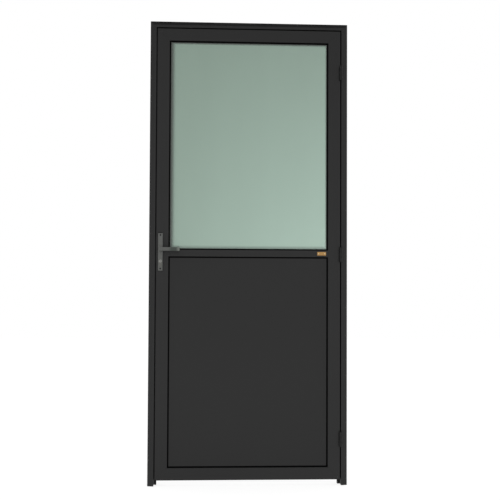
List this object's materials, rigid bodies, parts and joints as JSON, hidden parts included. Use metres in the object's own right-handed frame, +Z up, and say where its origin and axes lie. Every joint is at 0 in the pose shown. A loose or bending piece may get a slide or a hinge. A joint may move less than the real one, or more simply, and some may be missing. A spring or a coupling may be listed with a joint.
{
  "type": "glazed door with frame",
  "caption": "Hinged aluminium door in its own frame: tinted glass above a slim middle rail, solid panel below, lever handle with key cylinder on the left.",
  "frame": {"origin": "on the floor under the frame, midway between the jambs, on the middle plane of the leaf", "axes": "+X to the hinge side as the viewer sees it, +Y through the door away from the side the leaf opens to, +Z up"},
  "size_m": [0.9, 0.134, 2.1],
  "materials": {
    "black_coating": "satin black powder coating on extruded aluminium",
    "hinge_coating": "satin black powder coating",
    "panel_sheet": "satin black painted composite sheet",
    "green_glass": "green tinted float glass",
    "black_rubber": "matt black rubber",
    "handle_metal": "satin grey metal",
    "steel": "zinc plated",
    "bare_aluminium": "mill finish",
    "brass": "satin nickel on brass",
    "nylon": "natural nylon"
  },
  "bodies": {
    "frame": {"jamb_lock": "black_coating", "jamb_hinge": "black_coating", "head": "black_coating", "frame_cleats": "bare_aluminium", "seal_lock": "black_rubber", "seal_hinge": "black_rubber", "seal_head": "black_rubber", "strike_plate": "steel", "strike_screws": "steel", "hinge_frame_top": "hinge_coating", "hinge_frame_mid": "hinge_coating", "hinge_frame_low": "hinge_coating", "hinge_pin_top": "hinge_coating", "hinge_pin_mid": "hinge_coating", "hinge_pin_low": "hinge_coating", "hinge_screws_frame": "steel"},
    "leaf": {"stile_lock": "black_coating", "stile_hinge": "black_coating", "rail_top": "black_coating", "rail_mid": "black_coating", "rail_bottom": "black_coating", "leaf_cleats": "bare_aluminium", "glass_pane": "green_glass", "lower_panel": "panel_sheet", "glass_gasket_front": "black_rubber", "glass_gasket_back": "black_rubber", "panel_gasket_front": "black_rubber", "panel_gasket_back": "black_rubber", "glass_bead_top": "black_coating", "glass_bead_low": "black_coating", "glass_bead_lock": "black_coating", "glass_bead_hinge": "black_coating", "panel_bead_top": "black_coating", "panel_bead_low": "black_coating", "panel_bead_lock": "black_coating", "panel_bead_hinge": "black_coating", "setting_blocks": "nylon", "lock_case": "steel", "forend": "steel", "lock_screws": "steel", "cylinder_body": "brass", "plate_front": "handle_metal", "plate_back": "handle_metal", "plate_screws": "steel", "hinge_leaf_top": "hinge_coating", "hinge_leaf_mid": "hinge_coating", "hinge_leaf_low": "hinge_coating", "hinge_screws_leaf": "steel", "hinge_bushes": "nylon"},
    "handle": {"lever_front": "handle_metal", "lever_back": "handle_metal", "spindle": "steel", "lock_hub": "steel"},
    "latch": {"latch_bolt": "steel"},
    "bolt": {"dead_bolt": "steel"},
    "key_front": {"plug_front": "brass", "cylinder_cam": "brass"},
    "key_back": {"plug_back": "brass"}
  },
  "joints": [
    {"name": "door_swing", "type": "hinge", "parent": "frame", "child": "leaf", "pos_m": [0.42, -0.0263, 0], "axis": [0, 0, 1], "range_deg": [0, 110]},
    {"name": "lever_turn", "type": "hinge", "parent": "leaf", "child": "handle", "pos_m": [-0.3985, 0, 1.062], "axis": [0, 1, 0], "range_deg": [0, 45], "stiffness_Nm_per_rad": 2, "springref_deg": -20.05},
    {"name": "latch_slide", "type": "slide", "parent": "leaf", "child": "latch", "axis": [-1, 0, 0], "range_m": [0, 0.012]},
    {"name": "key_turn_front", "type": "hinge", "parent": "leaf", "child": "key_front", "pos_m": [-0.3985, 0, 1.0085], "axis": [0, 1, 0], "range_deg": [0, 360]},
    {"name": "bolt_slide", "type": "slide", "parent": "leaf", "child": "bolt", "axis": [-1, 0, 0], "range_m": [0, 0.02]},
    {"name": "key_turn_back", "type": "hinge", "parent": "leaf", "child": "key_back", "pos_m": [-0.3985, 0, 1.0085], "axis": [0, 1, 0], "range_deg": [0, 360]}
  ],
  "couplings": [
    {"joint": "key_turn_front", "follows": "bolt_slide", "rad_per_m": 314.13}
  ]
}
